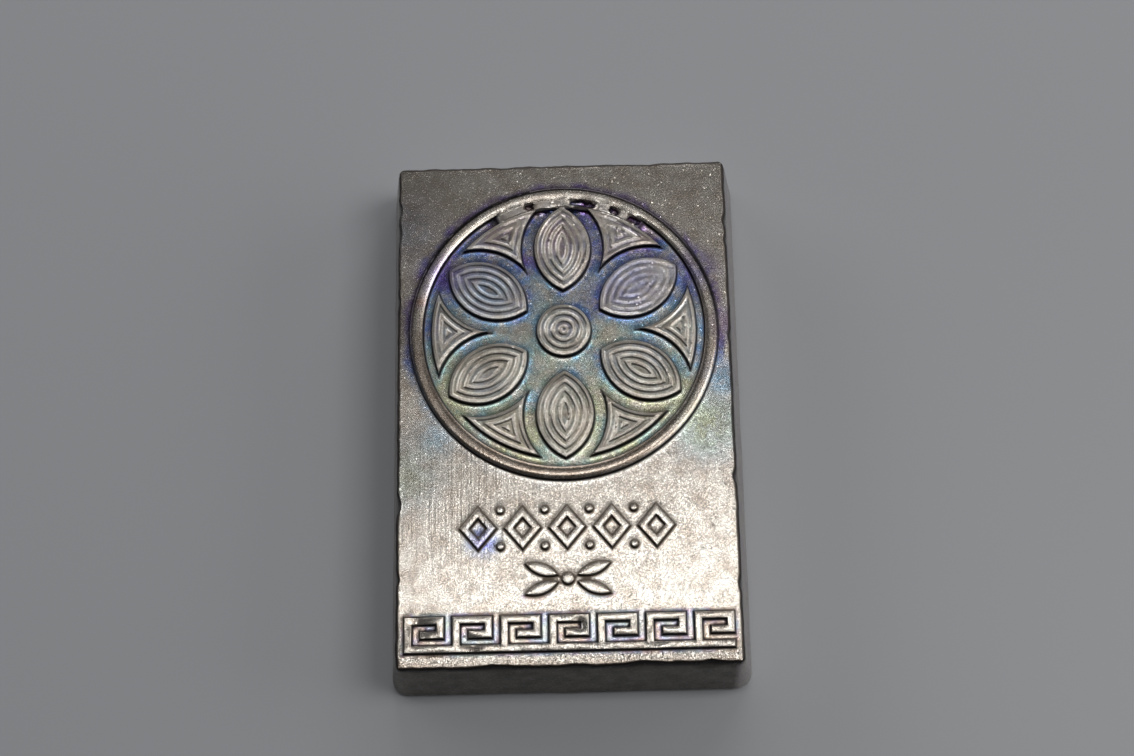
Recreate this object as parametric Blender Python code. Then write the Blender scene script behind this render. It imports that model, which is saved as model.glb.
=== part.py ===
"""A cast one-pound bar of bismuth, poured in one piece and lying on its pour face.

The bar is a block with drafted walls. Its relief face carries a ring medallion with a six-petalled rosette,
and below it three rows of raised ornament: lozenges and beads, a sprig, and a running key.

Units are metres and +Z is up. The origin is on the surface that the bar lies on, under the bar's centre.
The long side runs along Y, with the medallion towards +Y.
"""

import math

import bmesh
import bpy
from mathutils import Matrix, Vector

MM = 0.001

# The block, whose height makes one pound of bismuth of it.
BASE_WIDTH = 50.2 * MM
BASE_LENGTH = 76.2 * MM
FACE_HEIGHT = 12.5 * MM
WALL_DRAFT = 1.5 * MM  # how far each wall leans in on its way up to the relief face
POUR_EDGE = 1.1 * MM  # rounding where the walls turn under into the pour face
FACE_EDGE = 0.35 * MM  # rounding where the walls meet the relief face
BASE_CORNER = 2.4 * MM  # corner radius in plan, at the widest
FACE_CORNER = 0.9 * MM  # and at the relief face
CORNER_STEPS = 4
EDGE_STEPS = 3

# Everything raised on the relief face.
RELIEF = 0.9 * MM  # height of the medallion over the face
ROW_RELIEF = 0.7 * MM  # height of the rows of ornament
WALL_LEAN = 0.15 * MM  # how far the sides of raised work lean in
CROWN = 0.2 * MM  # rounding at the top of those sides
ROOT = 0.5 * MM  # how far raised work reaches into the block before it is joined
RIDGE_PITCH = 0.9 * MM  # from one contour ridge to the next
RIDGE_DEPTH = 0.15 * MM
RIDGE_MARGIN = 0.3 * MM  # the least width left inside the last ridge
RIM_PAD_DEEPEST = 2.25 * MM  # how far in the ridges of a rim pad reach

# The medallion.
MEDALLION_Y = 11.05 * MM
RING_OUTER = 21.75 * MM
RING_INNER = 19.8 * MM
RING_STEPS = 72
PAD_CIRCLE = 18.7 * MM  # the circle that the petals and the pads between them reach
PETALS = 6
PETAL_START = 5.9 * MM  # inner tips, from the medallion's centre
PETAL_WIDTH = 8.2 * MM
PAD_GAP = 1.7 * MM  # the channel between a petal and the pad beside it
BOSS_RADIUS = 3.9 * MM
ARC_STEPS = 7
BOSS_STEPS = 24

# The rows of ornament.
LOZENGE_ROW_Y = -17.3 * MM
LOZENGES = 5
LOZENGE_PITCH = 6.1 * MM
LOZENGE_WIDTH = 5.3 * MM
LOZENGE_HEIGHT = 6.3 * MM
STROKE = 1.2 * MM
BEAD_RADIUS = 0.6 * MM
BEAD_STEPS = 10

SPRIG_ROW_Y = -24.45 * MM
SPRIG_BEAD = 0.9 * MM
SPRIG_LEAF_START = 1.3 * MM
SPRIG_LEAF_LENGTH = 5.0 * MM
SPRIG_LEAF_WIDTH = 1.75 * MM
SPRIG_LEAF_TILT = math.radians(20)

KEY_ROW_Y = -31.85 * MM
KEY_HOOKS = 7
KEY_HEIGHT = 5.1 * MM
KEY_COLUMN = 2.175 * MM  # from one upright to the next
KEY_HOOK_COLUMNS = 3


def arc(centre, radius, start, end, steps):
    """Points along an arc from one angle up to another, without the one at the end."""
    points = []
    for i in range(steps):
        angle = start + (end - start) * i / steps
        points.append(centre + Vector((math.cos(angle), math.sin(angle))) * radius)
    return points


def circle(radius, steps):
    return arc(Vector((0, 0)), radius, 0, math.tau, steps)


def rounded_rectangle(width, length, radius):
    points = []
    for quarter, (sx, sy) in enumerate(((1, 1), (-1, 1), (-1, -1), (1, -1))):
        centre = Vector((sx * (width / 2 - radius), sy * (length / 2 - radius)))
        start = quarter * math.pi / 2
        end = start + math.pi / 2
        points += arc(centre, radius, start, end, CORNER_STEPS)
        points += arc(centre, radius, end, start, 1)
    return points


def leaf(start, length, width, inset):
    """Two equal arcs that meet in points on the X axis, drawn in by the inset."""
    half, rise = length / 2, width / 2
    radius = (half * half + rise * rise) / (2 * rise)
    drop = radius - rise
    radius -= inset
    reach = math.asin(math.sqrt(radius * radius - drop * drop) / radius)
    middle = start + half
    upper = arc(Vector((middle, -drop)), radius, math.pi / 2 - reach, math.pi / 2 + reach, ARC_STEPS)
    lower = arc(Vector((middle, drop)), radius, -math.pi / 2 - reach, -math.pi / 2 + reach, ARC_STEPS)
    return upper + lower


def crossing(first, first_radius, second, second_radius, side):
    """Where two circles cross, left (1) or right (-1) of the line from the first to the second."""
    line = second - first
    along = (first_radius**2 - second_radius**2 + line.length_squared) / (2 * line.length)
    aside = math.sqrt(first_radius**2 - along**2)
    line.normalize()
    return first + line * along + Vector((-line.y, line.x)) * aside * side


def angle_from(centre, point):
    return math.atan2(point.y - centre.y, point.x - centre.x)


def rim_pad(inset):
    """The pad that fills the rim between two petals, about the X axis, drawn in by the inset."""
    half, rise = (PAD_CIRCLE - PETAL_START) / 2, PETAL_WIDTH / 2
    petal_radius = (half * half + rise * rise) / (2 * rise)
    turn = Matrix.Rotation(math.pi / PETALS, 2)
    above = turn @ Vector((PETAL_START + half, petal_radius - rise))
    below = Vector((above.x, -above.y))
    hollow = petal_radius + PAD_GAP + inset
    rim = PAD_CIRCLE - inset
    centre = Vector((0, 0))
    low_corner = crossing(centre, rim, below, hollow, 1)
    high_corner = crossing(centre, rim, above, hollow, -1)
    tip = crossing(below, hollow, above, hollow, -1)
    outer = arc(centre, rim, angle_from(centre, low_corner), angle_from(centre, high_corner), ARC_STEPS)
    upper = arc(above, hollow, angle_from(above, high_corner), angle_from(above, tip), ARC_STEPS)
    lower = arc(below, hollow, angle_from(below, tip), angle_from(below, low_corner), ARC_STEPS)
    return outer + upper + lower


def lozenge(inset):
    reach, rise = LOZENGE_WIDTH / 2, LOZENGE_HEIGHT / 2
    share = 1 - inset * math.hypot(reach, rise) / (reach * rise)
    corners = ((reach, 0), (0, rise), (-reach, 0), (0, -rise))
    return [Vector(corner) * share for corner in corners]


def running_key(inset):
    """A ground line with a row of square hooks standing on it, as one outline of right angles."""
    half = STROKE / 2
    low, high = -KEY_HEIGHT / 2 + half, KEY_HEIGHT / 2 - half
    middle = (low + high) / 2
    span = (KEY_HOOK_COLUMNS * (KEY_HOOKS - 1) + KEY_HOOK_COLUMNS - 1) * KEY_COLUMN
    corners = [(-span / 2 - half, low - half)]
    for i in reversed(range(KEY_HOOKS)):
        upright = -span / 2 + KEY_HOOK_COLUMNS * KEY_COLUMN * i
        hook, fall = upright + KEY_COLUMN, upright + (KEY_HOOK_COLUMNS - 1) * KEY_COLUMN
        hooked = [
            (upright + half, low + half),
            (upright + half, high - half),
            (fall - half, high - half),
            (fall - half, middle + half),
            (hook - half, middle + half),
            (hook - half, middle - half),
            (fall + half, middle - half),
            (fall + half, high + half),
            (upright - half, high + half),
            (upright - half, low + half),
        ]
        corners += hooked if i else hooked[:-1]
    corners[1:1] = [(span / 2 + half, low - half), (span / 2 + half, low + half)]
    drawn = []
    for before, corner, after in zip(corners[-1:] + corners[:-1], corners, corners[1:] + corners[:1]):
        arriving = (Vector(corner) - Vector(before)).normalized()
        leaving = (Vector(after) - Vector(corner)).normalized()
        inward = Vector((-arriving.y - leaving.y, arriving.x + leaving.x))
        drawn.append(Vector(corner) + inward * inset)
    return drawn


def add_loop(mesh, outline, height):
    return [mesh.verts.new((point.x, point.y, height)) for point in outline]


def bridge(mesh, lower, upper):
    """A band of faces between two loops of equal length."""
    for i in range(len(lower)):
        j = (i + 1) % len(lower)
        mesh.faces.new((lower[i], lower[j], upper[j], upper[i]))


def loft(mesh, outlines):
    """A solid through (outline, height) pairs listed from its foot to its top, closed at both ends."""
    loops = [add_loop(mesh, outline, height) for outline, height in outlines]
    for lower, upper in zip(loops, loops[1:]):
        bridge(mesh, lower, upper)
    mesh.faces.new(reversed(loops[0]))
    mesh.faces.new(loops[-1])
    return [vert for loop in loops for vert in loop]


def frame(mesh, outlines):
    """A solid that closes on itself, through (outline, height) pairs up its outside and down its inside."""
    loops = [add_loop(mesh, outline, height) for outline, height in outlines]
    for lower, upper in zip(loops, loops[1:] + loops[:1]):
        bridge(mesh, lower, upper)
    return [vert for loop in loops for vert in loop]


def side_steps(relief):
    """(inset, height) pairs up one leaning side of raised work, from its root to its softened top."""
    top = FACE_HEIGHT + relief
    return [(0, FACE_HEIGHT - ROOT), (0, FACE_HEIGHT), (WALL_LEAN, top - CROWN), (WALL_LEAN + CROWN, top)]


def stroke_steps(relief, width):
    """(inset, height) pairs up the outer side of a stroke of that width and down its inner side."""
    rising = side_steps(relief)
    return rising + [(width - inset, height) for inset, height in reversed(rising)]


def raised(mesh, outline_at):
    """A plain raised shape. outline_at gives its outline at an inset."""
    return loft(mesh, [(outline_at(inset), height) for inset, height in side_steps(ROW_RELIEF)])


def ridged(mesh, outline_at, deepest):
    """A raised pad whose top has contour ridges that repeat its outline, down to the deepest inset."""
    steps = side_steps(RELIEF)
    inset, top = steps[-1]
    count = math.floor((deepest - inset) / (RIDGE_PITCH / 2))
    for i in range(1, count + 1):
        steps.append((inset + i * RIDGE_PITCH / 2, top - (i % 2) * RIDGE_DEPTH))
    return loft(mesh, [(outline_at(inset), height) for inset, height in steps])


def turn_and_move(mesh, verts, angle, x, y):
    placed = Matrix.Translation((x, y, 0)) @ Matrix.Rotation(angle, 4, "Z")
    bmesh.ops.transform(mesh, matrix=placed, verts=verts)


def model_block(mesh):
    """Drafted walls between the rounded pour edge and the softer edge of the relief face."""
    sections = []
    for i in range(EDGE_STEPS + 1):
        turn = math.pi / 2 * i / EDGE_STEPS
        tuck = POUR_EDGE * (1 - math.sin(turn))
        sections.append((tuck, POUR_EDGE * (1 - math.cos(turn)), BASE_CORNER - tuck))
    for i in range(EDGE_STEPS + 1):
        turn = math.pi / 2 * i / EDGE_STEPS
        tuck = FACE_EDGE * (1 - math.cos(turn))
        height = FACE_HEIGHT - FACE_EDGE * (1 - math.sin(turn))
        sections.append((WALL_DRAFT + tuck, height, FACE_CORNER - tuck))
    outlines = []
    for inset, height, radius in sections:
        outline = rounded_rectangle(BASE_WIDTH - 2 * inset, BASE_LENGTH - 2 * inset, radius)
        outlines.append((outline, height))
    loft(mesh, outlines)


def model_ring(mesh):
    section = stroke_steps(RELIEF, RING_OUTER - RING_INNER)
    verts = frame(mesh, [(circle(RING_OUTER - inset, RING_STEPS), height) for inset, height in section])
    turn_and_move(mesh, verts, 0, 0, MEDALLION_Y)


def model_rosette(mesh):
    def petal(inset):
        return leaf(PETAL_START, PAD_CIRCLE - PETAL_START, PETAL_WIDTH, inset)

    def boss(inset):
        return circle(BOSS_RADIUS - inset, BOSS_STEPS)

    for i in range(PETALS):
        axis = math.pi / 2 + math.tau * i / PETALS
        verts = ridged(mesh, petal, PETAL_WIDTH / 2 - RIDGE_MARGIN)
        turn_and_move(mesh, verts, axis, 0, MEDALLION_Y)
        verts = ridged(mesh, rim_pad, RIM_PAD_DEEPEST)
        turn_and_move(mesh, verts, axis + math.pi / PETALS, 0, MEDALLION_Y)
    verts = ridged(mesh, boss, BOSS_RADIUS - RIDGE_MARGIN)
    turn_and_move(mesh, verts, 0, 0, MEDALLION_Y)


def model_lozenge_row(mesh):
    section = stroke_steps(ROW_RELIEF, STROKE)
    for i in range(LOZENGES):
        x = (i - (LOZENGES - 1) / 2) * LOZENGE_PITCH
        verts = frame(mesh, [(lozenge(inset), height) for inset, height in section])
        turn_and_move(mesh, verts, 0, x, LOZENGE_ROW_Y)
    for i in range(LOZENGES - 1):
        x = (i - (LOZENGES - 2) / 2) * LOZENGE_PITCH
        for side in (-1, 1):
            verts = raised(mesh, lambda inset: circle(BEAD_RADIUS - inset, BEAD_STEPS))
            turn_and_move(mesh, verts, 0, x, LOZENGE_ROW_Y + side * (LOZENGE_HEIGHT / 2 - BEAD_RADIUS))


def model_sprig_row(mesh):
    def sprig_leaf(inset):
        return leaf(SPRIG_LEAF_START, SPRIG_LEAF_LENGTH, SPRIG_LEAF_WIDTH, inset)

    verts = raised(mesh, lambda inset: circle(SPRIG_BEAD - inset, BEAD_STEPS))
    turn_and_move(mesh, verts, 0, 0, SPRIG_ROW_Y)
    for side in (0, math.pi):
        for tilt in (-SPRIG_LEAF_TILT, SPRIG_LEAF_TILT):
            verts = raised(mesh, sprig_leaf)
            turn_and_move(mesh, verts, side + tilt, 0, SPRIG_ROW_Y)


def model_key_row(mesh):
    verts = raised(mesh, running_key)
    turn_and_move(mesh, verts, 0, 0, KEY_ROW_Y)


def bismuth():
    """Frosted cast bismuth, a warm grey metal."""
    material = bpy.data.materials.new("bismuth")
    material.use_nodes = True
    shader = material.node_tree.nodes["Principled BSDF"]
    shader.inputs["Base Color"].default_value = (0.46, 0.42, 0.37, 1)
    shader.inputs["Metallic"].default_value = 1.0
    shader.inputs["Roughness"].default_value = 0.38
    return material


def object_from(name, builders):
    """One object from the solids that the builders add."""
    mesh = bmesh.new()
    for build in builders:
        build(mesh)
    data = bpy.data.meshes.new(name)
    mesh.to_mesh(data)
    mesh.free()
    made = bpy.data.objects.new(name, data)
    bpy.context.scene.collection.objects.link(made)
    return made


def main():
    for old in list(bpy.data.objects):
        bpy.data.objects.remove(old)
    bar = object_from("cast_bar", [model_block])
    bar.data.materials.append(bismuth())
    work = [model_ring, model_rosette, model_lozenge_row, model_sprig_row, model_key_row]
    raised_work = object_from("raised_work", work)
    raised_work.hide_render = True
    raised_work.display_type = "WIRE"
    join = bar.modifiers.new("join raised work", "BOOLEAN")
    join.operation = "UNION"
    join.solver = "EXACT"
    join.object = raised_work


main()
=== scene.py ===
# %% [markdown]
# # A poured bar of bismuth
# Bismuth melts at 271 degrees, so a hand-sized bar can be poured in a small workshop. The metal runs into a
# mould whose floor carries the design cut in reverse, freezes, and drops out with the design standing proud.
# Everything here is about that one casting: its drafted walls, its relief, the faults the pour left, and the
# thin oxide film that turns parts of it violet, blue, teal and green.
#
# The imported model gives the bar's real size and place. We load it first, keep its box, and then build a
# finer surface that stands for the same piece.

import math

import bpy
import numpy as np
from mathutils import Matrix, Vector, noise
from mathutils.geometry import delaunay_2d_cdt


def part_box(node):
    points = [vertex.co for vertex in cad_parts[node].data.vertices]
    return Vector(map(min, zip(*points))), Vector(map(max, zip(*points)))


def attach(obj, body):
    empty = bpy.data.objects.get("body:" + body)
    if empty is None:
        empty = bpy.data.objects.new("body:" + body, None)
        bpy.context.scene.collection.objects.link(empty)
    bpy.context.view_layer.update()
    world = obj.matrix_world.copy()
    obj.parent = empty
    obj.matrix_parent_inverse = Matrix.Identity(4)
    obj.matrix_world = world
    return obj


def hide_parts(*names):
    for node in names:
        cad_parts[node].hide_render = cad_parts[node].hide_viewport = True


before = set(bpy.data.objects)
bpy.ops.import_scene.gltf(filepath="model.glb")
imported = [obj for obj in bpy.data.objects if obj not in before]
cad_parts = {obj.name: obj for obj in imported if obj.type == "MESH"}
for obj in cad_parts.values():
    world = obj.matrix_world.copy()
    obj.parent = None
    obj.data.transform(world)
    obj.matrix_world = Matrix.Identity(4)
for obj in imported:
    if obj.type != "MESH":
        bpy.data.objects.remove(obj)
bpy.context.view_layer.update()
node_low, node_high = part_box("cast_bar")

# %% [markdown]
# ## Working in millimetres
# Blender's unit is the metre, but a maker thinks of this bar in millimetres: a 1.2 mm stroke, a 0.9 mm
# relief. All the shapes below are worked out in millimetres and scaled once, when the mesh is made. The
# bar's outer size comes from the frame, so it can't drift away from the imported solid.

# %% Sizes of the block, in millimetres
MM = 0.001

BASE_WIDTH = (node_high[0] - node_low[0]) / MM
BASE_LENGTH = (node_high[1] - node_low[1]) / MM
RELIEF = 0.9
HALF_WIDTH, HALF_LENGTH = BASE_WIDTH / 2, BASE_LENGTH / 2
FACE_HEIGHT = (node_high[2] - node_low[2]) / MM - RELIEF
WALL_DRAFT = 1.5
POUR_EDGE = 1.1
FACE_EDGE = 0.35
BASE_CORNER = 2.4
FACE_CORNER = 0.9
print(f"block {BASE_WIDTH:.1f} x {BASE_LENGTH:.1f} mm, relief face at {FACE_HEIGHT:.2f} mm")

# %% Sizes of the raised work, in millimetres
ROW_RELIEF = 0.68
WALL_LEAN = 0.11
RIDGE_PITCH = 1.0
RIDGE_DEPTH = 0.14
FIRST_CREST = 0.40

MEDALLION_Y = 11.05
RING_OUTER, RING_INNER = 21.75, 19.8
RING_EASE, RING_EASE_SWING, RING_EASE_TURN = 1.25, 0.25, math.radians(135)
PAD_CIRCLE = 18.7
PETALS = 6
SECTOR = math.tau / PETALS
PETAL_START, PETAL_WIDTH = 5.9, 8.2
PAD_GAP = 1.7
BOSS_RADIUS = 3.9

LOZENGE_ROW_Y, LOZENGES, LOZENGE_PITCH = -17.3, 5, 6.1
LOZENGE_WIDTH, LOZENGE_HEIGHT = 5.3, 6.3
STROKE = 1.2
BEAD_RADIUS = 0.6

SPRIG_ROW_Y, SPRIG_BEAD = -24.45, 0.9
SPRIG_LEAF_START, SPRIG_LEAF_LENGTH, SPRIG_LEAF_WIDTH = 1.3, 5.0, 1.75
SPRIG_LEAF_TILT = math.radians(20)

KEY_ROW_Y, KEY_HOOKS, KEY_HEIGHT = -31.85, 7, 5.1
KEY_COLUMN, KEY_HOOK_COLUMNS = 2.175, 3

# %% [markdown]
# ## Outlines
# Every raised shape is known by its outline drawn in by some distance. Asking for the same outline at many
# insets gives nested loops, and nested loops are what a contour-ridged pad is made of. Arcs and lines are
# cut into short, even steps, and each side starts exactly on its corner, so the corners stay crisp.

# %% Points along arcs and lines
LOOP_STEP = 0.3


def arc_points(centre, radius, start, end):
    count = max(3, round(abs(end - start) * radius / LOOP_STEP))
    angles = start + (end - start) * np.arange(count) / count
    return np.column_stack((centre[0] + radius * np.cos(angles), centre[1] + radius * np.sin(angles)))


def polygon_points(corners):
    sides = []
    for start, end in zip(corners, np.roll(corners, -1, axis=0)):
        count = max(1, round(np.linalg.norm(end - start) / LOOP_STEP))
        sides.append(start + (end - start) * (np.arange(count) / count)[:, None])
    return np.concatenate(sides)


def circle_outline(radius):
    return arc_points((0, 0), radius, 0, math.tau)


def ring_ease(angle):
    """How fast the ring's outer side climbs. It is quickest at the upper left, where the crest leans out."""
    return RING_EASE + RING_EASE_SWING * np.cos(angle - RING_EASE_TURN)


def ring_outline(inset):
    """The ring's outer side drawn in, further where it climbs slower."""
    count = round(math.tau * RING_OUTER / LOOP_STEP)
    angles = math.tau * np.arange(count) / count
    radii = RING_OUTER - inset / ring_ease(angles)
    return np.column_stack((radii * np.cos(angles), radii * np.sin(angles)))


# %% Petal, pad, leaf and lozenge outlines
def lens_arc(length, width):
    """The radius of the two arcs that make a leaf, and how far their centres lie from its long axis."""
    half, rise = length / 2, width / 2
    radius = (half * half + rise * rise) / (2 * rise)
    return radius, radius - rise


def leaf_outline(start, length, width, inset):
    radius, drop = lens_arc(length, width)
    radius -= inset
    reach = math.acos(drop / radius)
    middle = start + length / 2
    upper = arc_points((middle, -drop), radius, math.pi / 2 - reach, math.pi / 2 + reach)
    lower = arc_points((middle, drop), radius, -math.pi / 2 - reach, -math.pi / 2 + reach)
    return np.concatenate((upper, lower))


PETAL_LENGTH = PAD_CIRCLE - PETAL_START
PETAL_RADIUS, PETAL_DROP = lens_arc(PETAL_LENGTH, PETAL_WIDTH)
petal_middle = Vector((PETAL_START + PETAL_LENGTH / 2, PETAL_DROP))
HOLLOW_CENTRE = Matrix.Rotation(SECTOR / 2, 2) @ petal_middle
HOLLOW_RADIUS = PETAL_RADIUS + PAD_GAP


def pad_corners(inset):
    """Where the rim arc meets a hollow side, and where the two hollow sides meet, on a pad's upper half."""
    rim, hollow = PAD_CIRCLE - inset, HOLLOW_RADIUS + inset
    reach = HOLLOW_CENTRE.length
    along = (rim**2 - hollow**2 + reach**2) / (2 * reach)
    turn = math.atan2(HOLLOW_CENTRE.y, HOLLOW_CENTRE.x) - math.acos(along / rim)
    corner = Vector((math.cos(turn), math.sin(turn))) * rim
    tip = Vector((HOLLOW_CENTRE.x + math.sqrt(hollow**2 - HOLLOW_CENTRE.y**2), 0))
    return corner, tip


def rim_pad_outline(inset):
    corner, tip = pad_corners(inset)
    turn = math.atan2(corner.y, corner.x)
    to_corner, to_tip = corner - HOLLOW_CENTRE, tip - HOLLOW_CENTRE
    start, end = math.atan2(to_corner.y, to_corner.x), math.atan2(to_tip.y, to_tip.x)
    outer = arc_points((0, 0), PAD_CIRCLE - inset, -turn, turn)
    upper = arc_points(HOLLOW_CENTRE, HOLLOW_RADIUS + inset, start, end)
    below = (HOLLOW_CENTRE.x, -HOLLOW_CENTRE.y)
    lower = arc_points(below, HOLLOW_RADIUS + inset, -end, -start)
    return np.concatenate((outer, upper, lower))


LOZENGE_SLOPE = math.hypot(LOZENGE_WIDTH, LOZENGE_HEIGHT) / (LOZENGE_WIDTH * LOZENGE_HEIGHT / 2)


def lozenge_outline(inset):
    share = 1 - inset * LOZENGE_SLOPE
    reach, rise = LOZENGE_WIDTH / 2 * share, LOZENGE_HEIGHT / 2 * share
    return polygon_points(np.array([(reach, 0), (0, rise), (-reach, 0), (0, -rise)]))


print(f"petal arcs have a radius of {PETAL_RADIUS:.2f} mm, pads are hollowed to {HOLLOW_RADIUS:.2f} mm")

# %% [markdown]
# ## The running key
# The lowest row is a border of square hooks on a ground line. It is kept as rectangles, because a rectangle
# is easy to measure from, and the outline that goes round them all is built from the same numbers.

# %% The key as rectangles and as one outline
HALF_STROKE = STROKE / 2
KEY_LOW, KEY_HIGH = -KEY_HEIGHT / 2 + HALF_STROKE, KEY_HEIGHT / 2 - HALF_STROKE
KEY_MIDDLE = (KEY_LOW + KEY_HIGH) / 2
KEY_SPAN = (KEY_HOOK_COLUMNS * KEY_HOOKS - 1) * KEY_COLUMN


def hook_columns(index):
    """The middles of a hook's upright, of its tongue's end and of its falling stroke."""
    upright = -KEY_SPAN / 2 + KEY_HOOK_COLUMNS * KEY_COLUMN * index
    return upright, upright + KEY_COLUMN, upright + (KEY_HOOK_COLUMNS - 1) * KEY_COLUMN


def key_strokes():
    """Each stroke as the middles of its two ends."""
    strokes = [(-KEY_SPAN / 2, KEY_LOW, KEY_SPAN / 2, KEY_LOW)]
    for index in range(KEY_HOOKS):
        upright, tongue, fall = hook_columns(index)
        strokes.append((upright, KEY_LOW, upright, KEY_HIGH))
        strokes.append((upright, KEY_HIGH, fall, KEY_HIGH))
        strokes.append((fall, KEY_MIDDLE, fall, KEY_HIGH))
        strokes.append((tongue, KEY_MIDDLE, fall, KEY_MIDDLE))
    return strokes


def key_outline(inset):
    half = HALF_STROKE - inset
    ends = KEY_SPAN / 2 + half
    corners = [(-ends, KEY_LOW - half), (ends, KEY_LOW - half), (ends, KEY_LOW + half)]
    for index in reversed(range(KEY_HOOKS)):
        upright, tongue, fall = hook_columns(index)
        corners += [
            (upright + half, KEY_LOW + half),
            (upright + half, KEY_HIGH - half),
            (fall - half, KEY_HIGH - half),
            (fall - half, KEY_MIDDLE + half),
            (tongue - half, KEY_MIDDLE + half),
            (tongue - half, KEY_MIDDLE - half),
            (fall + half, KEY_MIDDLE - half),
            (fall + half, KEY_HIGH + half),
            (upright - half, KEY_HIGH + half),
        ]
        if index:
            corners.append((upright - half, KEY_LOW + half))
    return polygon_points(np.array(corners))


print(f"the key runs {KEY_SPAN + STROKE:.1f} mm in {len(key_strokes())} strokes")

# %% [markdown]
# ## How deep inside a shape is a point?
# The height of the relief depends only on how far a point lies inside the nearest outline. So each shape
# gets a depth function: positive inside, zero on the outline, negative outside. The six petals and pads are
# one petal and one pad seen in a kaleidoscope: the angle is folded into a single sector first.

# %% Depth functions
def around_medallion(x, y):
    """Distance and angle from the medallion's centre."""
    return np.hypot(x, y - MEDALLION_Y), np.arctan2(y - MEDALLION_Y, x)


def folded(radius, angle, first_axis):
    """The point turned into the sector about the X axis."""
    turn = (angle - first_axis + SECTOR / 2) % SECTOR - SECTOR / 2
    return radius * np.cos(turn), radius * np.sin(turn)


def leaf_depth(x, y, start, length, width):
    radius, drop = lens_arc(length, width)
    return radius - np.hypot(x - start - length / 2, np.abs(y) + drop)


def rim_pad_depth(radius, angle):
    x, y = folded(radius, angle, math.pi / 2 + SECTOR / 2)
    hollow = np.hypot(x - HOLLOW_CENTRE.x, np.abs(y) - HOLLOW_CENTRE.y) - HOLLOW_RADIUS
    tip = pad_corners(0)[1].x
    depth = np.minimum(PAD_CIRCLE - radius, hollow)
    return np.where(radius < tip, np.minimum(depth, radius - tip), depth)


def ridged_depth(x, y):
    """Petals, pads and boss."""
    radius, angle = around_medallion(x, y)
    petal_x, petal_y = folded(radius, angle, math.pi / 2)
    petals = leaf_depth(petal_x, petal_y, PETAL_START, PETAL_LENGTH, PETAL_WIDTH)
    return np.maximum.reduce((petals, rim_pad_depth(radius, angle), BOSS_RADIUS - radius))


def lozenge_row_depth(x, y):
    y = y - LOZENGE_ROW_Y
    depth = np.full(x.shape, -np.inf)
    for index in range(LOZENGES):
        across = np.abs(x - (index - (LOZENGES - 1) / 2) * LOZENGE_PITCH)
        inside = (1 - across / (LOZENGE_WIDTH / 2) - np.abs(y) / (LOZENGE_HEIGHT / 2)) / LOZENGE_SLOPE
        depth = np.maximum(depth, np.minimum(inside, STROKE - inside))
    for bead_x, bead_y in bead_centres():
        depth = np.maximum(depth, BEAD_RADIUS - np.hypot(x - bead_x, y - bead_y))
    return depth


def bead_centres():
    rise = LOZENGE_HEIGHT / 2 - BEAD_RADIUS
    for index in range(LOZENGES - 1):
        for side in (-1, 1):
            yield (index - (LOZENGES - 2) / 2) * LOZENGE_PITCH, side * rise


def sprig_row_depth(x, y):
    y = y - SPRIG_ROW_Y
    depth = SPRIG_BEAD - np.hypot(x, y)
    for turn in sprig_turns():
        leaf_x = x * math.cos(turn) + y * math.sin(turn)
        leaf_y = y * math.cos(turn) - x * math.sin(turn)
        leaf = leaf_depth(leaf_x, leaf_y, SPRIG_LEAF_START, SPRIG_LEAF_LENGTH, SPRIG_LEAF_WIDTH)
        depth = np.maximum(depth, leaf)
    return depth


def sprig_turns():
    return [side + tilt for side in (0, math.pi) for tilt in (-SPRIG_LEAF_TILT, SPRIG_LEAF_TILT)]


def key_row_depth(x, y):
    y = y - KEY_ROW_Y
    depth = np.full(x.shape, -np.inf)
    for x0, y0, x1, y1 in key_strokes():
        across = (x1 - x0) / 2 + HALF_STROKE - np.abs(x - (x0 + x1) / 2)
        along = (y1 - y0) / 2 + HALF_STROKE - np.abs(y - (y0 + y1) / 2)
        depth = np.maximum(depth, np.minimum(across, along))
    return depth


def ring_depth(x, y):
    radius, angle = around_medallion(x, y)
    return np.minimum((RING_OUTER - radius) * ring_ease(angle), radius - RING_INNER)


def all_depths(x, y):
    """Depth inside the ring, the ridged pads, the upper two rows and the key."""
    rows = np.maximum(lozenge_row_depth(x, y), sprig_row_depth(x, y))
    return ring_depth(x, y), ridged_depth(x, y), rows, key_row_depth(x, y)


# %% [markdown]
# ## Heights
# A mould cutter leaves steep sides and rounded tops. The sides here rise over the first 0.11 mm of depth, a
# small shoulder turns the corner, and the top closes over like a very low dome. The ring's shoulder is wide,
# and its outer side climbs quickest at the upper left. On the pads the cutter walked round and round, one
# step further in each time. It left flat bands and flat valleys with short slopes between them, so along the
# depth the height is a wave with its tops and bottoms cut off.

# %% Height of perfect relief for a depth
FAR_OUTSIDE = -3.0
SHOULDER_END = 0.23
SIDE_SHARE, CREST_SHARE = 0.80, 0.96
RING_CREST_SHARE = 0.955
RING_SHOULDER, RING_CREST = 0.42, 0.95
FILLET = 0.04
FILLET_REACH = 0.2
SLOPE_FROM, SLOPE_TO = 0.13, 0.37


def side_height(depth, relief, crest_share=CREST_SHARE, shoulder_end=SHOULDER_END, round_end=HALF_STROKE):
    """A leaning side, a shoulder up to the crest, and a crown from there up to the full relief."""
    side = SIDE_SHARE * np.clip(depth / WALL_LEAN, 0, 1)
    shoulder = (crest_share - SIDE_SHARE) * np.clip((depth - WALL_LEAN) / (shoulder_end - WALL_LEAN), 0, 1)
    inward = np.clip((depth - shoulder_end) / (round_end - shoulder_end), 0, 1)
    crown = (1 - crest_share) * (1 - (1 - inward) ** 2)
    fillet = FILLET * np.exp(np.minimum(depth, 0) / FILLET_REACH)
    return np.maximum(relief * (side + shoulder + crown), fillet)


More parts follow.
